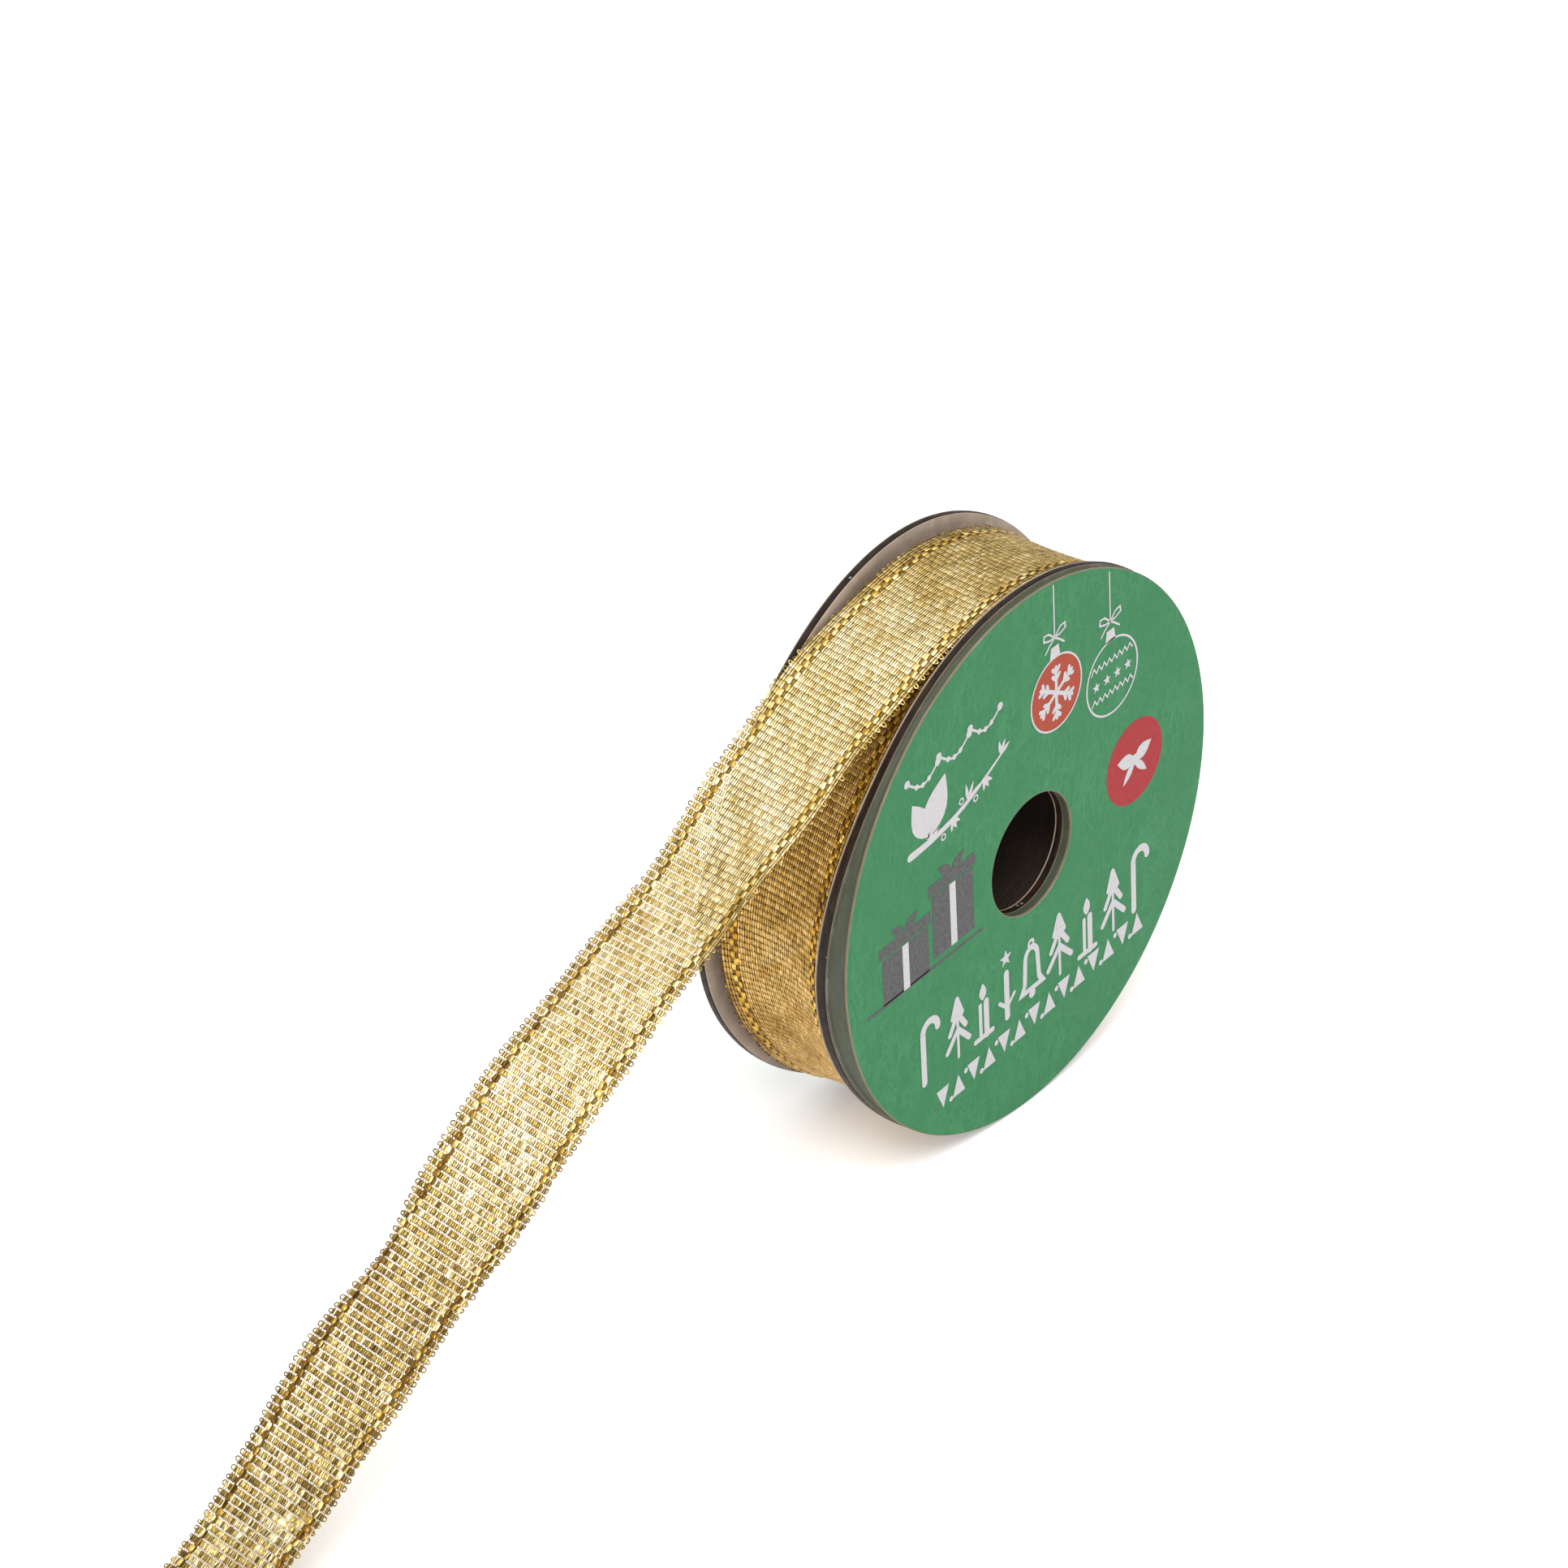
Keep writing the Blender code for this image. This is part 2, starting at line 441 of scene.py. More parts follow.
def grid_faces(rows, columns, wrap_rows, wrap_columns):
    """Quads of a grid of points; wrapping joins its last row or column to its first."""
    i, j = np.meshgrid(
        np.arange(rows if wrap_rows else rows - 1),
        np.arange(columns if wrap_columns else columns - 1),
        indexing="ij",
    )
    below = (i + 1) % rows
    beside = (j + 1) % columns
    corners = [i * columns + j, i * columns + beside, below * columns + beside, below * columns + j]
    return np.stack(corners, -1).reshape(-1, 4)


def round_axis(radius, y, angle):
    """Points at a radius and an angle round the spool, and y along its axis."""
    return np.stack([-radius * np.sin(angle), y, radius * np.cos(angle)], -1)


def waves(angle, amplitude, seed, counts=(2, 3, 5, 9, 14, 23)):
    """A smooth closed ripple round the spool."""
    rng = np.random.default_rng(seed)
    total = np.zeros_like(angle)
    for count in counts:
        total += rng.uniform(0.4, 1.0) / sqrt(count) * np.sin(count * angle + rng.uniform(0, 2 * pi))
    return amplitude * total


def turned(name, profile, side, materials, shape=None):
    """Turns a closed profile of (radius, depth, material index); side is -1 at the front.

    shape takes (radius, y, angle) arrays and returns (radius, y), for bows and ripples.
    """
    angle = np.linspace(0, 2 * pi, ROUND_STEPS, endpoint=False)[None, :]
    radius = np.array([p[0] for p in profile])[:, None] + 0 * angle
    y = side * np.array([p[1] for p in profile])[:, None] + 0 * angle
    angle = angle + 0 * radius
    if shape:
        radius, y = shape(radius, y, angle)
    verts = round_axis(radius, y, angle).reshape(-1, 3)
    faces = grid_faces(len(profile), ROUND_STEPS, True, True)
    mats = np.repeat([p[2] for p in profile], ROUND_STEPS)
    return facing_out(add_mesh(name, verts, faces, materials, "spool", face_mats=mats))


# Flanges


def depths(node):
    """How far a CAD node's two faces are from the middle of the spool, along the axis."""
    low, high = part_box(node)
    return sorted((abs(low.y) / MM, abs(high.y) / MM))


def outer_radius(node):
    low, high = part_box(node)
    return (high.z - low.z) / 2 / MM


def smooth_step(value):
    value = np.clip(value, 0.0, 1.0)
    return value * value * (3 - 2 * value)


def hump(angle, middle, half_angle):
    """1 at the middle angle, falling smoothly to 0 at half_angle on both sides."""
    turn = np.abs((angle - middle + pi) % (2 * pi) - pi) / half_angle
    return np.cos(np.clip(turn, 0, 1) * pi / 2) ** 2


def rim_rise(radius, start):
    """Rises smoothly from 0 at a start radius to 1 at the flange's rim."""
    return smooth_step((radius - start) / (FLANGE_R - start))


def bow(angle, radius):
    """The share, from 0 to 1, of the push towards the back at the left."""
    return rim_rise(radius, BOW_START_R) * hump(angle, BOW_ANGLE, BOW_HALF_ANGLE)


def flare(angle, radius):
    """How far the back flange leans out from the ribbon."""
    lean = FLARE * (1 - hump(angle, FLAT_ANGLE, FLAT_HALF_ANGLE))
    return lean * rim_rise(radius, CORE_R) + BACK_BOW * bow(angle, radius)


def raised(angle, radius):
    """How much further out than a centred flange the back flange reaches at an angle."""
    return BACK_RAISE * np.cos(angle) * rim_rise(radius, CORE_R)


def face_points(start, end, steps, depth, mat):
    """Even steps over a disc's flat face, from one radius until just before another."""
    return [(start + (end - start) * k / steps, depth, mat) for k in range(steps)]


def rounded_profile(rim, low, high, corner, dish):
    """A ply's section: inner face, rounded rim with a dished edge, outer face and bore."""
    points = face_points(BORE_R, rim - corner, RADIAL_STEPS, low, 0)
    for k in range(RIM_STEPS + 1):
        t = k / RIM_STEPS
        depth = low + (high - low) * t
        edge = min(depth - low, high - depth)
        round_off = corner - sqrt(max(0.0, corner**2 - max(0.0, corner - edge) ** 2))
        points.append((rim - round_off - dish * (sin(pi * t) + t), depth, 0))
    return points + face_points(rim - corner, BORE_R, RADIAL_STEPS, high, 0)[1:] + [(BORE_R, high, 0)]


def flange_ply(name, mat, side, corner, seed, ripple, dish, bows):
    """One ply of a flange. bows says how far its outer and its inner face bow, at the front."""
    low, high = depths(name)
    profile = rounded_profile(outer_radius(name), low, high, corner, dish)

    def shape(radius, y, angle):
        rim_share = smooth_step((radius - 0.9 * FLANGE_R) / (0.1 * FLANGE_R))
        radius = radius + rim_share * waves(angle, ripple, seed)
        if side < 0:
            share = (high - np.abs(y)) / (high - low)
            y = y + bow(angle, radius) * (bows[0] + (bows[1] - bows[0]) * share)
        else:
            y = y + flare(angle, radius)
            radius = radius + raised(angle, radius)
        y = y + 0.25 * waves(angle, ripple, seed + 1) * rim_share
        return radius, y

    piece = turned(name + "_disc", profile, side, [mat], shape)
    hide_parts(name)
    return piece


def label_disc(side_name, side, mats, seed):
    """A printed card disc: green face, and a kraft edge that shows round the print."""
    name = side_name + "_label"
    low, high = depths(name)
    rim = outer_radius(name)
    edge = 0.06
    bare = 0.1
    profile = face_points(BORE_R, rim - edge, RADIAL_STEPS, low, 1)
    profile += [(rim - edge, low, 1), (rim, low + edge, 1), (rim, high - edge, 1)]
    profile += [(rim - edge, high - 0.005, 1)]
    profile += face_points(rim - bare, BORE_R + bare, RADIAL_STEPS, high, 0)
    profile += [(BORE_R + bare, high, 1), (BORE_R, high - 0.04, 1)]

    def shape(radius, y, angle):
        rim_share = smooth_step((radius - 0.9 * rim) / (0.1 * rim))
        radius = radius + rim_share * waves(angle, 0.03, seed)
        y = y + 0.02 * rim_share * waves(angle, 1.0, seed + 1)
        if side > 0:
            return radius + raised(angle, radius), y + flare(angle, radius)
        return radius, y

    piece = turned(name + "_disc", profile, side, [mats["green"], mats["kraft"]], shape)
    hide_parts(name)


def build_flange(side_name, side, mats):
    """A side's label and the four plies behind it."""
    label_disc(side_name, side, mats, SEED + side)
    # Each ply: name, material, slot, corner, ripple, dish, and its two bows.
    plies = (
        ("inner_liner", "liner", "liner_paper", 0.05, 0.02, 0.0, (INNER_BOW, INNER_BOW)),
        ("flange_board", "brown", "brown_board", 0.16, 0.035, 0.0, (BOW, INNER_BOW)),
        ("outer_liner", "edge_liner", "liner_paper", 0.05, 0.02, 0.0, (BOW, BOW)),
        ("spacer", "grey", "grey_board", 0.05, 0.03, 0.14, (0.0, BOW)),
    )
    for number, (ply, mat, slot, corner, ripple, dish, bows) in enumerate(plies):
        seed = SEED + 10 * number + (5 if side > 0 else 0)
        piece = flange_ply(f"{side_name}_{ply}", mats[mat], side, corner, seed, ripple, dish, bows)


def build_core(mats):
    """The paper tube between the flanges, and the tape that starts the ribbon."""
    half = depths("core_tube")[1]
    profile = [
        (CORE_R - CORE_WALL, -half, 0),
        (CORE_R, -half, 0),
        (CORE_R, half, 0),
        (CORE_R - CORE_WALL, half, 0),
    ]
    core = turned("core_tube_paper", profile, 1, [mats["core"]])
    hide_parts("core_tube")
    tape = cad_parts["start_tape"]
    tape.data.materials.clear()
    tape.data.materials.append(mats["tape"])


# The label's print. Points are (u, v) in mm on the label as it is read.


class Print:
    """Collects flat shapes of one ink, each on its own thin level so that none coincide."""

    def __init__(self):
        self.verts = []
        self.faces = []
        self.shapes = 0

    def add(self, points, faces):
        """Adds one shape, its faces counter-clockwise as the label is read."""
        start = len(self.verts)
        level = INK_STEP * (self.shapes % INK_LEVELS)
        self.shapes += 1
        self.verts += [(p[0], p[1], level) for p in points]
        for face in faces:
            area = 0.0
            for a, b in zip(face, face[1:] + face[:1]):
                area += points[a][0] * points[b][1] - points[b][0] * points[a][1]
            turned_face = face if area > 0 else face[::-1]
            self.faces.append(tuple(start + k for k in turned_face))

    def polygon(self, points):
        flat = [Vector((p[0], p[1], 0.0)) for p in points]
        self.add(points, [tuple(tri) for tri in tessellate_polygon([flat])])

    def box(self, left, low, right, high):
        self.polygon([(left, low), (right, low), (right, high), (left, high)])

    def stroke(self, points, width, closed=False):
        """A line of even width, mitred at its joints and round at its ends."""
        pts = [Vector(p) for p in points]
        count = len(pts)
        sides = []
        for k, p in enumerate(pts):
            before = pts[k - 1] if closed or k else p
            after = pts[(k + 1) % count] if closed or k < count - 1 else p
            into, out = (p - before).normalized(), (after - p).normalized()
            along = (into + out).normalized()
            mitre = max(0.5, along.dot(out if out.length else into))
            sides.append(Vector((-along.y, along.x)) * width / 2 / mitre)
        left = [p + side for p, side in zip(pts, sides)]
        right = [p - side for p, side in zip(pts, sides)]
        links = range(count if closed else count - 1)
        faces = [(k, (k + 1) % count, count + (k + 1) % count, count + k) for k in links]
        verts = left + right
        if not closed:
            for end, sign in ((0, -1), (count - 1, 1)):
                side = sides[end]
                reach = Vector((side.y, -side.x)) * sign
                turns = [t * pi / CAP_STEPS for t in range(CAP_STEPS + 1)]
                faces.append(tuple(range(len(verts), len(verts) + CAP_STEPS + 1)))
                verts = verts + [pts[end] + side * cos(turn) + reach * sin(turn) for turn in turns]
        self.add(verts, faces)

    def disc(self, centre, radius, steps=48):
        self.polygon(circle(centre, radius, steps))

    def ring(self, centre, radius, width, steps=56):
        self.stroke(circle(centre, radius, steps), width, closed=True)

    def star(self, centre, radius):
        outline = []
        for k in range(10):
            r = radius * (0.42 if k % 2 else 1)
            a = pi / 2 + pi * k / 5
            outline.append((centre[0] + r * cos(a), centre[1] + r * sin(a)))
        self.polygon(outline)

    def leaf(self, base, tip, width):
        """A pointed leaf, widest a little nearer to its base."""
        base, tip = Vector(base), Vector(tip)
        along = tip - base
        side = Vector((-along.y, along.x)).normalized() * width / 2
        steps = 8
        left = [base + along * k / steps + side * sin(pi * (k / steps) ** 0.85) for k in range(steps + 1)]
        right = [base + along * k / steps - side * sin(pi * (k / steps) ** 0.85) for k in range(1, steps)]
        self.polygon(left + right[::-1])


def circle(centre, radius, steps):
    points = []
    for k in range(steps):
        a = 2 * pi * k / steps
        points.append((centre[0] + radius * cos(a), centre[1] + radius * sin(a)))
    return points


def arc(centre, radius, start, end, steps=12, squash=1.0):
    points = []
    for k in range(steps + 1):
        a = start + (end - start) * k / steps
        points.append((centre[0] + radius * cos(a), centre[1] + radius * squash * sin(a)))
    return points


def draw_bow(ink_, centre, size):
    """A small hand-drawn bow: two loops and two tails."""
    loop = ((0, 0), (0.55, 0.5), (1, 0.55), (1.05, 0.2), (0.55, 0.02), (0, 0))
    tail = ((0, 0), (0.5, -0.35), (0.9, -0.7))
    for sign in (-1, 1):
        for line in (loop, tail):
            points = [(centre[0] + sign * u * size, centre[1] + v * size) for u, v in line]
            ink_.stroke(points, 0.24)


def draw_snowflake(ink_, centre, radius, width):
    """Six arms, each with two pairs of side twigs."""
    x, y = centre
    twig = 0.26 * radius
    for k in range(6):
        a = pi / 6 + k * pi / 3
        ink_.stroke([(x, y), (x + radius * cos(a), y + radius * sin(a))], width)
        for share in (0.5, 0.78):
            knee = (x + share * radius * cos(a), y + share * radius * sin(a))
            for turn in (-pi / 4, pi / 4):
                end = (knee[0] + twig * cos(a + turn), knee[1] + twig * sin(a + turn))
                ink_.stroke([knee, end], width)


def draw_baubles(white, orange):
    """Two hanging baubles: a filled one with a snowflake, an outlined one with stars."""
    for x, top, knot in ((5.1, 32.6, 25.9), (15.4, 29.0, 22.6)):
        white.stroke([(x, top), (x, knot)], 0.22)
        draw_bow(white, (x, knot), 1.9)
        low, high = knot - 2.6, knot - 1.1
        white.polygon([(x - 0.95, low), (x + 0.95, low), (x + 0.7, high), (x - 0.7, high)])
    first = (5.2, 18.7)
    orange.disc(first, 4.65)
    white.ring(first, 4.65, 0.24)
    draw_snowflake(white, first, 3.3, 0.5)
    second = (15.6, 15.3)
    white.ring(second, 4.8, 0.26)
    steps = 16
    for v in (2.1, -2.1):
        half = sqrt(4.4**2 - v**2)
        wave = []
        for k in range(steps + 1):
            wave.append((second[0] - half + 2 * half * k / steps, second[1] + v + (0.5 if k % 2 else -0.2)))
        white.stroke(wave, 0.2)
    for k in range(4):
        white.star((second[0] - 3.0 + 2.0 * k, second[1]), 0.75)


def draw_badge(white, red):
    """A red disc with a white gift bow."""
    centre = (19.6, 1.6)
    red.disc(centre, 5.4)
    x, y = centre
    for sign in (-1, 1):
        white.leaf((x, y + 0.2), (x + sign * 3.3, y + 1.3), 1.9)
        white.leaf((x, y + 0.1), (x + sign * 2.3, y - 2.3), 1.0)
    white.disc((x, y + 0.2), 0.75)


def draw_sprig(white):
    """A leafy twig with berries, under a swag of beads."""
    base, tip = Vector((-21.6, 11.9)), Vector((-4.8, 16.4))

    def stem(share):
        return base.lerp(tip, share) - Vector((0, 1.3 * sin(pi * share)))

    for k in range(12):
        white.stroke([stem(k / 12), stem((k + 1) / 12)], 1.0 - 0.06 * k)
    tufts = ((0.2, 1, 2.0), (0.45, -1, 1.6), (0.62, 1, 2.4), (0.8, -1, 1.6), (0.98, 1, 1.9))
    for share, side, length in tufts:
        root = stem(share)
        for spread in (0.5, 1.1, 1.7):
            white.leaf(root, root + Vector((length * cos(spread), side * length * sin(spread))), 0.55)
    for share, rise in ((0.35, -1.0), (0.7, -0.9), (0.55, 1.0)):
        white.ring(stem(share) + Vector((0, rise)), 0.36, 0.2, 16)
    white.leaf((-18.6, 12.6), (-15.0, 19.3), 4.2)
    white.leaf((-18.4, 12.8), (-20.9, 18.3), 3.0)
    width = 5.4
    for k in range(3):
        left, high = -21.6 + 5.6 * k, 21.4 + 1.05 * k / 2
        swag = [(left + width * j / 10, high - 1.5 * sin(pi * j / 10)) for j in range(11)]
        white.stroke(swag, 0.3)
        for j in (0, 3, 5, 7, 10):
            white.disc(swag[j], 0.5 if j in (0, 10) else 0.36, 14)


def draw_gifts(grey, white):
    """Dark parcels tied with pale bands, on a shelf line."""
    for left, low, width, height in ((-27.2, -4.6, 8.2, 6.0), (-18.2, -3.6, 7.4, 8.2)):
        right, high, middle = left + width, low + height, left + width / 2
        grey.box(left, low, right, high)
        grey.box(left - 0.5, high + 0.2, right + 0.5, high + 1.7)
        for sign in (-1, 1):
            grey.leaf((middle, high + 1.6), (middle + sign * 2.4, high + 3.2), 1.3)
        white.box(middle - 0.55, low, middle + 0.55, high)
    grey.stroke([(-30.0, -4.6), (-9.4, -4.6)], 0.4)


def draw_tree(ink_, x, low, height, width):
    ink_.stroke([(x, low), (x, low + height)], 0.45)
    for share, reach in ((0.2, 1.0), (0.47, 0.72), (0.72, 0.42)):
        y = low + height * share
        for sign in (-1, 1):
            ink_.stroke([(x, y + 0.28 * height), (x + sign * reach * width / 2, y)], 0.75)


def draw_cane(ink_, x, low, height):
    hook = 1.35
    stem = [(x - hook, low), (x - hook, low + height - hook)]
    ink_.stroke(stem + arc((x, low + height - hook), hook, pi, -0.1), 0.95)


def draw_candle(ink_, x, low, height):
    ink_.stroke([(x - 0.55, low), (x - 0.55, low + 0.62 * height)], 0.6)
    ink_.stroke([(x + 0.55, low), (x + 0.55, low + 0.62 * height)], 0.95)
    ink_.leaf((x, low + 0.68 * height), (x, low + height), 1.3)
    ink_.stroke([(x - 1.6, low), (x + 1.6, low)], 0.7)


def draw_bell(ink_, x, low, height):
    outline = [(x - 2.0, low + 1.2), (x - 1.35, low + 2.2), (x - 1.15, low + 0.68 * height)]
    dome = arc((x, low + 0.68 * height), 1.15, pi, 0, 10, 1.3)
    outline += dome + [(x + 1.35, low + 2.2), (x + 2.0, low + 1.2)]
    ink_.stroke(outline, 0.75, closed=True)
    ink_.disc((x, low + 0.45), 0.6, 16)
    ink_.ring((x, low + height - 0.5), 0.45, 0.4, 14)


def draw_frieze(white):
    """A row of tall festive signs above a band of small triangles."""
    low, height = -19.2, 7.9
    draw_cane(white, -19.4, low + 0.1, height)
    draw_tree(white, -14.5, low, height, 4.0)
    draw_candle(white, -9.8, low, height * 0.92)
    white.star((-5.4, low + height + 0.2), 1.15)
    white.stroke([(-5.4, low), (-5.4, low + height - 1.9)], 0.95)
    white.stroke([(-6.8, low + 2.6), (-5.4, low + 1.3), (-4.0, low + 2.6)], 0.5)
    draw_bell(white, -0.7, low, height)
    draw_tree(white, 4.6, low, height + 0.2, 4.4)
    draw_candle(white, 9.9, low, height * 0.95)
    draw_tree(white, 15.0, low, height + 0.3, 4.2)
    draw_cane(white, 20.4, low + 0.4, height)
    count, step, climb = 14, 2.86, 0.17
    half, tall = 1.15, 2.7
    for k in range(count):
        x, y = -17.6 + step * k, -24.4 + climb * k
        if k % 2:
            white.polygon([(x - half, y), (x + half, y), (x, y + tall)])
        else:
            white.polygon([(x - half, y + tall), (x, y), (x + half, y + tall)])
    for k in range(count - 1):
        white.disc((-16.17 + step * k, -24.4 + climb * k + (2.35 if k % 2 else 0.35)), 0.36, 12)


def on_label(u, v, height, side):
    """The place of a point of the print, at a height above the middle of the spool."""
    x = -side * (u * cos(LABEL_TURN) - v * sin(LABEL_TURN))
    z = u * sin(LABEL_TURN) + v * cos(LABEL_TURN)
    angle = atan2(-x, z)
    radius = sqrt(x * x + z * z)
    lean = flare(angle, radius - raised(angle, radius)) if side > 0 else 0.0
    return x, side * height + lean, z


def place_print(name, shapes, mat, side, height):
    """Lays one ink's shapes at a height on a label, turned with the rest of the print."""
    face = depths("front_label")[1] + height
    verts = [on_label(u, v, face + level, side) for u, v, level in shapes.verts]
    piece = add_mesh(name, verts, shapes.faces, [mat], "spool", smooth=False)


def build_front_print(mats):
    """The front's ornaments. White ink lies over the coloured inks."""
    white, orange, red, grey, band = Print(), Print(), Print(), Print(), Print()
    draw_baubles(white, orange)
    draw_badge(band, red)
    draw_sprig(white)
    draw_gifts(grey, band)
    draw_frieze(white)
    top = PRINT_LIFT + INK_STEP * INK_LEVELS
    for name, shapes, mat, height in (
        ("orange", orange, "orange_ink", PRINT_LIFT),
        ("red", red, "red_ink", PRINT_LIFT),
        ("grey", grey, "grey_ink", PRINT_LIFT),
        ("white", white, "white_ink", top),
        ("bands", band, "white_ink", top),
    ):
        place_print("front_print_" + name, shapes, mats[mat], -1, height)


def build_back_print(mats):
    """A plain wreath of stars and snowflakes, a guess: the photo doesn't show the back."""
    white = Print()
    count, wreath = 12, 22.0
    for k in range(count):
        a = 2 * pi * k / count
        spot = (wreath * cos(a), wreath * sin(a))
        if k % 2:
            white.star(spot, 1.8)
        else:
            draw_snowflake(white, spot, 3.0, 0.42)
    white.ring((0, 0), 28.6, 0.4, 120)
    white.ring((0, 0), 12.6, 0.4, 80)
    place_print("back_print_white", white, mats["white_ink"], 1, BACK_PRINT_LIFT)


# The weave


class Weave:
    """Thread meshes of one ribbon on surface(along, across, height), all in mm."""

    def __init__(self, surface, start, bands, closed, rng, tone, tone_spread, uneven):
        """tone and uneven take a place along the ribbon; uneven is 0 for a perfect weave."""
        self.surface = surface
        self.start = start
        self.bands = bands
        self.closed = closed
        self.rng = rng
        self.tone = tone
        self.tone_spread = tone_spread
        self.uneven = uneven
        self.clear()

    def clear(self):
        self.verts, self.faces, self.tones, self.count = [], [], [], 0

    def take(self, name, mat, body):
        """Makes a piece of everything woven since the last one."""
        piece = add_mesh(
            name,
            np.concatenate(self.verts),
            np.concatenate(self.faces).tolist(),
            [mat],
            body,
            tones=np.concatenate(self.tones),
        )
        self.clear()
        return piece

    def grid(self, along, across, height, tone, wrap=False):
        """Quads over arrays that broadcast to (strips, ..., columns), with rows in between."""
        strips, *rows, columns = full = np.broadcast(along, across, height, tone).shape
        shape = (strips, int(np.prod(rows)), columns)
        along, across, height, tone = (
            np.broadcast_to(value, full).reshape(shape) for value in (along, across, height, tone)
        )
        self.verts.append(self.surface(along - SKEW * across, across, height).reshape(-1, 3))
        self.tones.append(tone.reshape(-1))
        strip = grid_faces(*shape[1:], wrap, False)
        starts = self.count + shape[1] * columns * np.arange(strips)
        self.faces.append((starts[:, None, None] + strip).reshape(-1, 4))
        self.count += along.size

    def warp(self, centres, width, length, neck, lift, every=1, first=0, tone_shift=0.0, contrast=1.0):
        """Threads along the ribbon: a flat float in each band, a narrow neck between bands."""
        rng = self.rng
        centres = np.array(centres)[:, None, None, None]
        band = np.arange(first, self.bands, every)[:, None, None] + 0.5
        middle = self.start + band * PITCH
        size = (len(centres), len(band), 1, 1)
        jitter = self.uneven(middle)
        on_float = np.array([0.0, 1.0, 1.0, 0.0])[:, None]
        # Towards the front edge the gaps close up where the weave is loose.
        closing = 0.14 * (jitter - 0.5) * np.clip(-centres / RIBBON_HALF, 0, 1)
        length = length * (1.05 - 0.1 * jitter + closing)
        row_at = np.array([-0.5, -0.5, 0.5, 0.5])[:, None] * length
        row_at = row_at + np.array([-0.05, 0.0, 0.0, 0.05])[:, None]
        wide = width / 2 * (1 + jitter * rng.uniform(-0.16, 0.12, size))
        half = wide * (on_float + (1 - on_float) * neck)
        along = middle + row_at + jitter * rng.normal(0, STRAY_ALONG, size)
        across = centres + jitter * rng.normal(0, STRAY_ACROSS, size) + THREAD_COLUMNS * half
        roll = jitter * rng.normal(0, STRAY_ROLL, size)
        pitch = jitter * rng.normal(0, STRAY_PITCH, size)
        crown = lift * (1 - 0.55 * np.abs(THREAD_COLUMNS))
        height = on_float * (crown + jitter * rng.normal(0, STRAY_HEIGHT, size))
        height = height + on_float * (roll * THREAD_COLUMNS * half + pitch * row_at)
        tone = self.tone(middle) + tone_shift
        # Each float's random tone is a painted glint: how brightly its tilt catches the light.
        spread = contrast * jitter * self.tone_spread * rng.normal(0, 1, size)
        float_tone = tone + self.patches(centres, band) + spread
        tone = float_tone * on_float + (1 - on_float) * (tone - NECK_SHADE)
        self.grid(along, across, height, tone, self.closed)

    def patches(self, across, band):
        """Slow changes of tone along and across the ribbon."""
        value = 0.0
        rng = np.random.default_rng(SEED + 77)
        for _ in range(5):
            along_rate, across_rate = rng.uniform(0.12, 0.75), rng.uniform(-1.3, 1.3)
            value = value + np.sin(band * along_rate + across * across_rate + rng.uniform(0, 6))
        return 0.035 * value

    def weft(self, half, width, height, columns, tone):
        """One flat bundle across the ribbon under each band; its dark tone is painted shade."""
        across = np.linspace(-half, half, columns)[:, None]
        band = np.arange(self.bands)[:, None, None] + 0.5
        along = self.start + band * PITCH + THREAD_COLUMNS * width / 2
        tone = tone + 0.06 * self.rng.normal(0, 1, (self.bands, columns, 1))
        self.grid(along, across, height + 0.04 * (1 - np.abs(THREAD_COLUMNS)), tone)

    def hole_shade_lining(self, centre, half, height, tone):
        """A continuous backing behind the holes of an edge chain, painted dark as painted shade in the
        holes.
        """
        rows = self.bands * 2 + (0 if self.closed else 1)
        along = self.start + np.arange(rows)[None, :, None] * PITCH / 2
        self.grid(along, centre + THREAD_COLUMNS * half, height, tone, self.closed)

    def picots(self, edge, side, reach, thread):
        """Small thread loops along an edge, one for each band."""
        rng = self.rng
        steps, sides = 7, 5
        swing = np.linspace(-0.15 * pi, 1.15 * pi, steps)[:, None]
        turn = np.linspace(0, 2 * pi, sides)
        size = (self.bands, 1, 1)
        band = np.arange(self.bands)[:, None, None] + 0.5
        middle = self.start + band * PITCH + rng.normal(0, 0.07, size)
        grow = rng.uniform(0.55, 1.15, size) * (0.75 + 0.2 * self.uneven(middle))
        radius = 0.25 * grow
        along = middle + (radius + thread * np.cos(turn)) * np.cos(swing)
        out = reach * grow * np.sin(swing) * (1 + thread / radius * np.cos(turn))
        height = thread * np.sin(turn) + rng.normal(0, 0.1, size) * np.sin(swing)
        tone = self.tone(middle) - 0.55 + 0.22 * rng.normal(0, 1, size)
        self.grid(along, edge + side * (out - 0.02), height, tone)


def thread_centres(low, high):
    """Evenly spaced places for the threads between two places across the ribbon."""
    count = round((high - low) / THREAD_PITCH)
    return [low + (high - low) * (k + 0.5) / count for k in range(count)]


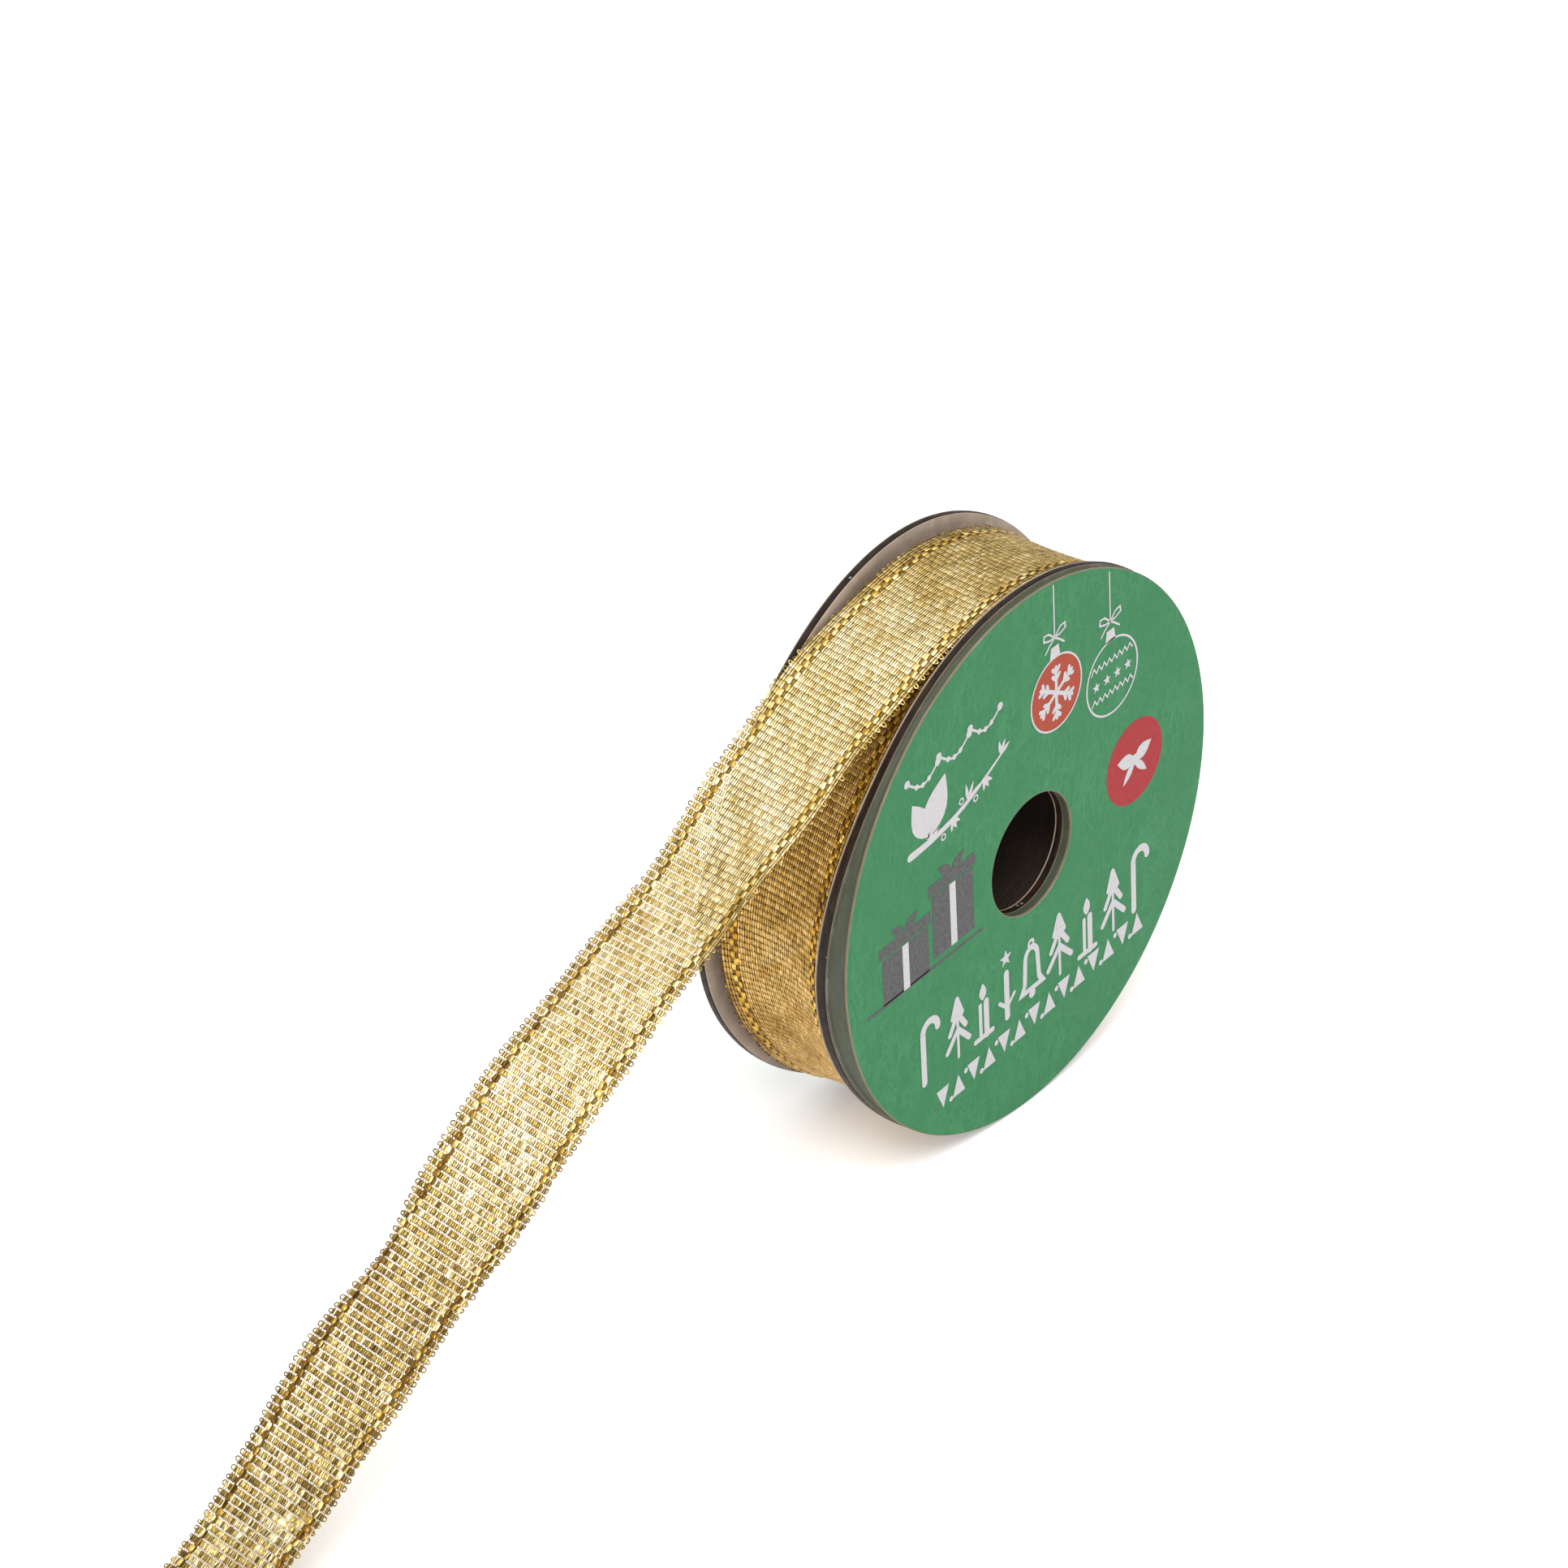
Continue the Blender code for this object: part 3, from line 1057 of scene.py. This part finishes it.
def weave_ribbon(weave, prefix, mats, kind, body, front_reach):
    """All the thread pieces of one ribbon: the cloth, its chains, the painted shade behind their holes, and
    picots.
    """
    edge = RIBBON_HALF - 0.1
    centre = thread_centres(CHAIN_FRONT + CHAIN_HALF, CHAIN_BACK - CHAIN_HALF)
    edges = thread_centres(-edge, CHAIN_FRONT - CHAIN_HALF)
    edges += thread_centres(CHAIN_BACK + CHAIN_HALF, edge)
    weave.weft(edge, WEFT_WIDTH, -0.07, 27, WEFT_SHADE_TONE)
    weave.warp(centre, THREAD_WIDTH, FLOAT_LENGTH, 0.3, 0.11)
    weave.warp(edges, THREAD_WIDTH, FLOAT_LENGTH, 0.5, 0.09, tone_shift=-0.15)
    cloth = weave.take(prefix + "_cloth", mats[kind], body)
    for chain in (CHAIN_FRONT, CHAIN_BACK):
        for strand, place in enumerate((chain - 0.2, chain + 0.2)):
            weave.warp([place], 0.46, CHAIN_FLOAT, 0.3, 0.2, every=2, first=strand, contrast=CHAIN_CONTRAST)
    chains = weave.take(prefix + "_chains", mats[kind + "_chain"], body)
    # The chains' holes are backed with a strip of painted shade.
    for chain in (CHAIN_FRONT, CHAIN_BACK):
        weave.hole_shade_lining(chain, 0.75 * CHAIN_HALF, -0.02, 0.6)
    holes = weave.take(prefix + "_chain_backing", mats["hole_shade"], body)
    weave.picots(-RIBBON_HALF, -1, front_reach, PICOT_THREAD)
    weave.picots(RIBBON_HALF, 1, PICOT_REACH, PICOT_THREAD)
    loops = weave.take(prefix + "_picots", mats[kind], body)
    return cloth, chains, holes, loops


# The winding


def winding_radius(angle, across):
    """The wound ribbon's outer face: hollow across its width, slightly uneven round it."""
    share = across / RIBBON_HALF
    hollow = HOLLOW + 0.8 * bow(angle, FLANGE_R) + waves(angle, 0.05, SEED + 3)
    ripple = waves(angle, 0.045, SEED + 4, (3, 7, 11, 19))
    return WINDING_R - THREADS_IN - hollow * (1 - share**2) + ripple * (0.3 + 0.7 * np.abs(share))


def pressed(angle, radius, across):
    """How far the bowed board pushes the wound ribbon towards the back."""
    front_share = (RIBBON_HALF - across) / (2 * RIBBON_HALF)
    return bow(angle, radius) * (BACK_BOW + (INNER_BOW - BACK_BOW) * front_share)


def winding_surface(along, across, height):
    """The place of a point of the wound ribbon, by its place along, across and above it."""
    angle = along / TURN_R
    radius = winding_radius(angle, across) + height
    y = across - RIBBON_SHIFT + pressed(angle, FLANGE_R, across) + waves(angle, 0.04, SEED + 5)
    return round_axis(radius, y, angle)


def build_winding(mats):
    """The outer turn thread by thread, and the turns under it as one solid ring."""
    weave = Weave(
        winding_surface,
        start=0.0,
        bands=BANDS_ROUND,
        closed=True,
        rng=np.random.default_rng(SEED + 20),
        tone=lambda along: 0.48,
        tone_spread=0.15,
        uneven=lambda along: 0.6,
    )
    weave_ribbon(weave, "winding", mats, "wound", "spool", 0.12)
    inner = CORE_R + 0.45
    half = RIBBON_HALF - 0.15
    steps = 16
    profile = [(inner, -half, 0)]
    profile += [(WINDING_R, -half + 2 * half * k / steps, 0) for k in range(steps + 1)]
    profile.append((inner, half, 0))

    def shape(radius, y, angle):
        outer = winding_radius(angle, y) - TURNS_UNDER_THREADS
        y = y - RIBBON_SHIFT + pressed(angle, radius, y)
        return np.where(radius > inner + 0.1, outer, radius), y

    turns = turned("winding_turns", profile, 1, [mats["wound"]], shape)
    # The turns under the threads are painted dark: painted shade in the gaps between the threads.
    set_tones(turns.data, np.full(len(turns.data.vertices), 0.12))
    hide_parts("ribbon_winding")


# The free tail


def slow_curve(stops, at, soften=2.5):
    """A smooth curve through a few chosen (place, value) stops along the tail."""
    places, values = zip(*stops)
    step = 0.25
    grid = np.arange(places[0] - 20, places[-1] + 20, step)
    line = np.interp(grid, places, values)
    reach = np.arange(-3 * soften, 3 * soften + step, step)
    kernel = np.exp(-0.5 * (reach / soften) ** 2)
    line = np.convolve(line, kernel / kernel.sum(), "same")
    return np.interp(at, grid, line)


class TailPath:
    """The tail's centre line, its slope, and how each edge rises or dips along it."""

    def __init__(self):
        step = 0.1
        self.wrap = TAIL_R * (WRAP_ANGLE + LEAVE_ANGLE)
        x, z = -TAIL_R * sin(LEAVE_ANGLE), TAIL_R * cos(LEAVE_ANGLE)
        table = TABLE_Z + REST_HEIGHT
        drop = LANDING_LENGTH * (1 - cos(TAIL_SLOPE)) / TAIL_SLOPE
        line = [(0.0, x, z, LEAVE_ANGLE)]

        def run(length, slope_from, slope_to):
            nonlocal x, z
            steps = max(1, round(length / step))
            for i in range(steps):
                slope = slope_from + (slope_to - slope_from) * (i + 0.5) / steps
                x -= cos(slope) * length / steps
                z -= sin(slope) * length / steps
                line.append((line[-1][0] + length / steps, x, z, slope))

        run(CURL_LENGTH, LEAVE_ANGLE, TAIL_SLOPE)
        self.straight = (z - table - drop) / sin(TAIL_SLOPE)
        run(self.straight, TAIL_SLOPE, TAIL_SLOPE)
        run(LANDING_LENGTH, TAIL_SLOPE, 0.0)
        run(ON_TABLE, 0.0, 0.0)
        self.along, self.xs, self.zs, self.slopes = np.array(line).T
        self.length = line[-1][0]

    def centre(self, s):
        """x, z and the downward slope; s is 0 where the ribbon leaves the winding."""
        angle = LEAVE_ANGLE + np.minimum(s, 0.0) / TAIL_R
        x = np.where(s < 0, -TAIL_R * np.sin(angle), np.interp(s, self.along, self.xs))
        z = np.where(s < 0, TAIL_R * np.cos(angle), np.interp(s, self.along, self.zs))
        slope = np.where(s < 0, angle, np.interp(s, self.along, self.slopes))
        return x, z, slope

    def brightness(self, s):
        """The tone of the weave, with painted shade: darker on the spool and towards the cut end."""
        on_spool = ((-26, 0.22), (-4, 0.42))
        free = ((10, 0.68), (30, 0.68), (45, 0.6), (80, 0.58), (105, 0.3), (125, 0.36), (150, 0.5))
        return slow_curve(on_spool + free, s)

    def unevenness(self, s):
        """The weave is tight near the spool and looser towards the cut end."""
        return 0.55 + 0.85 * smooth_step((s - 20) / 110)

    def edges(self, s):
        """How far the front and the back edge stand off the centre line."""
        end = CURL_LENGTH + self.straight
        front = ((0, 0), (10, -0.5), (20, -1.4), (30, -1.8), (39, -0.8), (50, -0.5), (57, 0.9))
        front += ((65, 0.4), (73, 1.4), (87, 0.3), (98, 0.6), (106, 1.6), (114, 1.1), (122, 0))
        front += ((129, 1.2), (end + 6, 0.4), (end + 14, 0))
        back = ((0, 0), (10, -0.5), (19, -0.9), (32, -1.9), (42, -2.6), (52, -2.4), (60, -0.8))
        back += ((67, 0.4), (76, 0.9), (90, 0), (98, 0.5), (103, 0), (110, -0.3), (115, -0.6))
        back += ((121, -1.1), (end - 3, -2.3), (end + 5, -1.9), (end + 10, -0.7), (end + 15, 0))
        return slow_curve(front, s), slow_curve(back, s)

    def surface(self, s, across, height):
        """The place of a point of the tail, by its place along, across and above it."""
        x, z, slope = self.centre(s)
        front, back = self.edges(s)
        share = across / RIBBON_HALF
        wound = smooth_step(-s / self.wrap)
        free = smooth_step(s / FREE_AFTER)
        hanging = 1 - smooth_step((s - self.length + ON_TABLE + LANDING_EASE) / LANDING_EASE)
        roll = (front - back) / (2 * RIBBON_HALF)
        offset = front * (1 - share) / 2 + back * (1 + share) / 2
        offset = offset - HOLLOW * 0.55 * (1 - free) * (1 - share**2) - START_DROP * wound**2
        # The edges flutter, and the middle sags and rises more slowly.
        flutter = 0.22 * np.sin(s / 2.9 + 1.5 * share) + 0.18 * np.sin(s / 5.3 - 2.2 * share + 1)
        swell = 0.25 * np.sin(s / 9.0 + 0.6)
        offset = offset + free * hanging * (flutter * share**2 + swell * (1 - share**2))
        # One place of the back edge curls under.
        curl = np.exp(-(((s - CURL_PLACE) / 6.0) ** 2)) * np.clip((across - 4.6) / 2.6, 0, 1) ** 2
        offset = offset - 1.1 * curl
        y = across * (1 - 0.5 * roll**2) - 0.6 * curl
        y = y + free * 0.12 * np.sin(s / 4.1) * share
        y = y * (1 - START_TAPER * wound**2) - RIBBON_SHIFT * (1 - free)
        total = offset + height
        low = z + np.cos(slope) * total
        return np.stack([x - np.sin(slope) * total, y, np.maximum(low, TABLE_Z + TABLE_GAP)], -1)


def build_tail(mats):
    """The free ribbon, from the winding's top to its cut end on the table."""
    path = TailPath()
    whole = path.wrap + path.length
    weave = Weave(
        path.surface,
        start=-path.wrap,
        bands=int(whole / PITCH),
        closed=False,
        rng=np.random.default_rng(SEED + 30),
        tone=path.brightness,
        tone_spread=0.2,
        uneven=path.unevenness,
    )
    cloth, chains, holes, loops = weave_ribbon(weave, "tail", mats, "tail", "free_ribbon", PICOT_REACH)
    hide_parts("ribbon_tail")


# The studio


def build_floor(mats):
    bpy.ops.mesh.primitive_grid_add(x_subdivisions=8, y_subdivisions=8, size=8.0)
    floor = bpy.context.object
    floor.name = "studio_floor"
    floor.data.materials.append(mats["floor"])


def build_world():
    """An even, pale room, a little darker low down so that the metal has contrast."""
    world = bpy.data.worlds.new("studio")
    bpy.context.scene.world = world
    world.use_nodes = True
    tree = world.node_tree
    background = tree.nodes["Background"]
    coords = tree.nodes.new("ShaderNodeTexCoord")
    split = tree.nodes.new("ShaderNodeSeparateXYZ")
    ramp = tree.nodes.new("ShaderNodeValToRGB")
    greys = ((0.0, 0.28), (0.3, 0.42), (0.6, 0.85), (0.85, 1.0))
    set_stops(ramp, [(place, (grey, 0.99 * grey, 0.97 * grey)) for place, grey in greys])
    tree.links.new(coords.outputs["Generated"], split.inputs[0])
    tree.links.new(split.outputs["Z"], ramp.inputs["Fac"])
    tree.links.new(ramp.outputs["Color"], background.inputs["Color"])
    background.inputs["Strength"].default_value = 1.15


def add_softbox(name, place, size, power):
    """A square light that faces the spool; its place and size are in metres."""
    data = bpy.data.lights.new(name, "AREA")
    data.shape = "SQUARE"
    data.size = size
    data.energy = power
    light = bpy.data.objects.new(name, data)
    light.location = place
    light.rotation_euler = (AXIS - Vector(place)).to_track_quat("-Z", "Y").to_euler()
    bpy.context.scene.collection.objects.link(light)


def build_lights():
    add_softbox("key_softbox", (-0.55, -0.35, 0.95), 0.55, 9.0)
    add_softbox("fill_softbox", (0.5, -0.95, 0.5), 0.7, 1.2)


def build_camera():
    azimuth, elevation = CAMERA_AZIMUTH, CAMERA_ELEVATION
    right = Vector((cos(azimuth), sin(azimuth), 0.0))
    back = Vector((sin(azimuth) * cos(elevation), -cos(azimuth) * cos(elevation), sin(elevation)))
    up = back.cross(right)
    place = AXIS + MM * (CAMERA_RIGHT * right + CAMERA_UP * up + CAMERA_DISTANCE * back)
    data = bpy.data.cameras.new("camera")
    data.lens = CAMERA_LENS
    data.sensor_width = 36.0
    data.clip_start = 0.01
    data.clip_end = 50.0
    camera = bpy.data.objects.new("camera", data)
    turn = Matrix((right, up, back)).transposed()
    camera.matrix_world = Matrix.Translation(place) @ turn.to_4x4()
    bpy.context.scene.collection.objects.link(camera)
    bpy.context.scene.camera = camera


def build_scene():
    bpy.context.scene.view_settings.view_transform = "Standard"
    build_camera()
    mats = build_materials()
    build_floor(mats)
    build_world()
    build_lights()
    build_flange("front", -1, mats)
    build_flange("back", 1, mats)
    build_core(mats)
    build_front_print(mats)
    build_back_print(mats)
    build_winding(mats)
    build_tail(mats)


build_scene()
